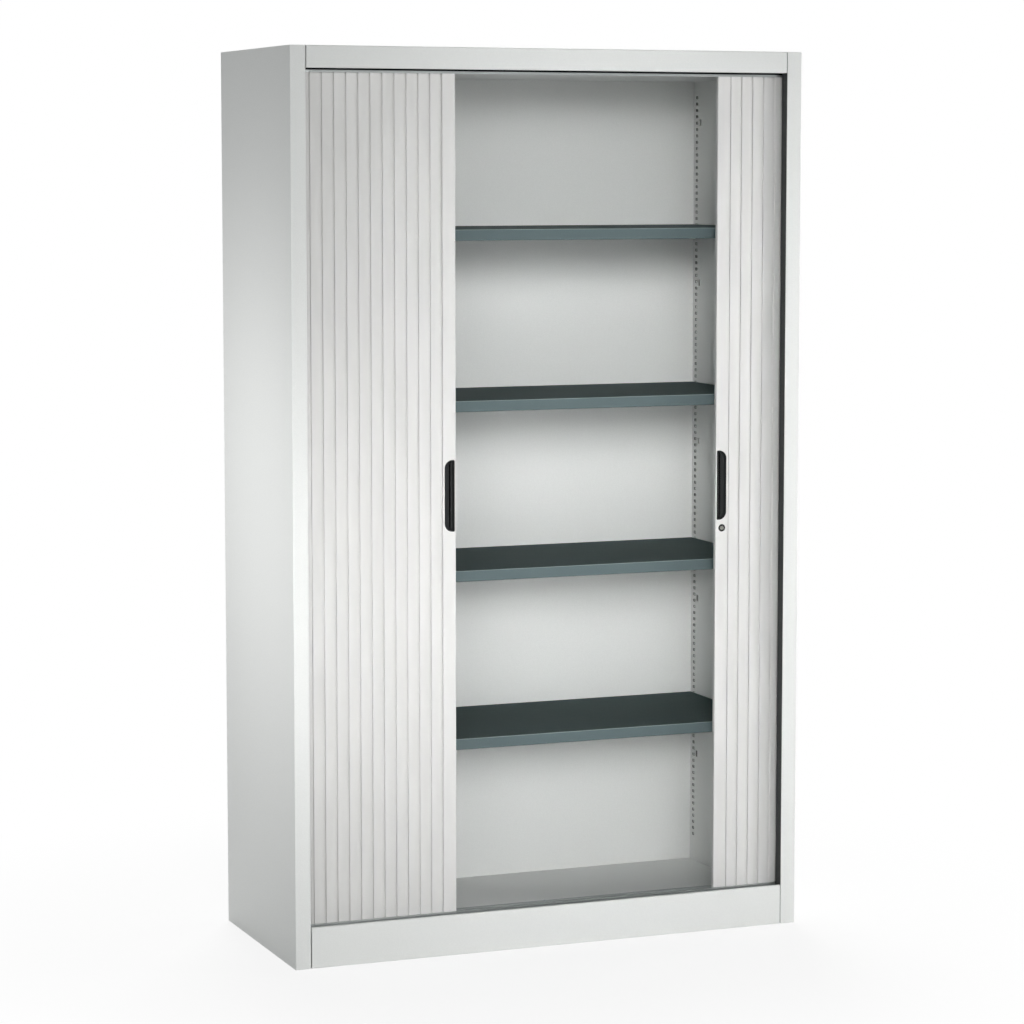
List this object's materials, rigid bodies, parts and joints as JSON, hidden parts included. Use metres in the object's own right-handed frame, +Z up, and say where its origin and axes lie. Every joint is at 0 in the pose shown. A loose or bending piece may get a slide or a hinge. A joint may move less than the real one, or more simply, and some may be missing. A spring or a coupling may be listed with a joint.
{
  "type": "roll front tool cabinet",
  "caption": "Tall free-standing steel cabinet with adjustable shelves and two vertical-slat roll-front curtains that slide round the front corners.",
  "frame": {"origin": "middle of the base rectangle, on the floor", "axes": "+Z up; +Y from the front towards the back, so the curtains and the open front face -Y; +X to the right as seen from the front"},
  "size_m": [1.2, 0.5, 1.98],
  "materials": {
    "carcass_enamel": "satin",
    "shelf_enamel": "satin",
    "curtain_vinyl": "satin",
    "grip_plastic": "matte",
    "guide_plastic": "matte",
    "track_aluminium": "satin",
    "plated_steel": "satin",
    "lock_nickel": "polished",
    "lock_black": "gloss",
    "buffer_rubber": "matte"
  },
  "bodies": {
    "carcass": {"side_panel_left": "carcass_enamel", "side_panel_right": "carcass_enamel", "top_panel": "carcass_enamel", "plinth_front": "carcass_enamel", "back_panel": "carcass_enamel", "floor_tray": "carcass_enamel", "ceiling_tray": "carcass_enamel", "liner_left": "carcass_enamel", "liner_right": "carcass_enamel", "front_track_bottom": "track_aluminium", "front_track_top": "track_aluminium", "side_track_bottom_left": "track_aluminium", "side_track_bottom_right": "track_aluminium", "side_track_top_left": "track_aluminium", "side_track_top_right": "track_aluminium", "track_screws": "plated_steel", "stop_buffers": "buffer_rubber", "shelf_1": "shelf_enamel", "shelf_2": "shelf_enamel", "shelf_3": "shelf_enamel", "shelf_4": "shelf_enamel", "shelf_clips": "plated_steel", "corner_slats_left": "curtain_vinyl", "corner_slats_right": "curtain_vinyl", "stored_slats_left": "curtain_vinyl", "stored_slats_right": "curtain_vinyl"},
    "left_curtain": {"slat_left_01": "curtain_vinyl", "slat_left_02": "curtain_vinyl", "slat_left_03": "curtain_vinyl", "slat_left_04": "curtain_vinyl", "slat_left_05": "curtain_vinyl", "slat_left_06": "curtain_vinyl", "slat_left_07": "curtain_vinyl", "slat_left_08": "curtain_vinyl", "slat_left_09": "curtain_vinyl", "slat_left_10": "curtain_vinyl", "slat_left_11": "curtain_vinyl", "lead_bar_left": "curtain_vinyl", "lead_shoes_left": "guide_plastic", "grip_left": "grip_plastic", "lock_keeper": "plated_steel"},
    "right_curtain": {"slat_right_01": "curtain_vinyl", "slat_right_02": "curtain_vinyl", "slat_right_03": "curtain_vinyl", "slat_right_04": "curtain_vinyl", "lead_bar_right": "curtain_vinyl", "lead_shoes_right": "guide_plastic", "grip_right": "grip_plastic", "lock_housing": "lock_black"},
    "lock": {"lock_plug": "lock_nickel", "lock_cam": "plated_steel", "cam_screw": "plated_steel"}
  },
  "joints": [
    {"name": "left_curtain_slide", "type": "slide", "parent": "carcass", "child": "left_curtain", "axis": [1, 0, 0], "range_m": [0, 0.21749]},
    {"name": "right_curtain_slide", "type": "slide", "parent": "carcass", "child": "right_curtain", "axis": [-1, 0, 0], "range_m": [0, 0.40779]},
    {"name": "lock_turn", "type": "hinge", "parent": "right_curtain", "child": "lock", "pos_m": [0.42354, -0.215, 0.915], "axis": [0, 1, 0], "range_deg": [0, 90]}
  ]
}
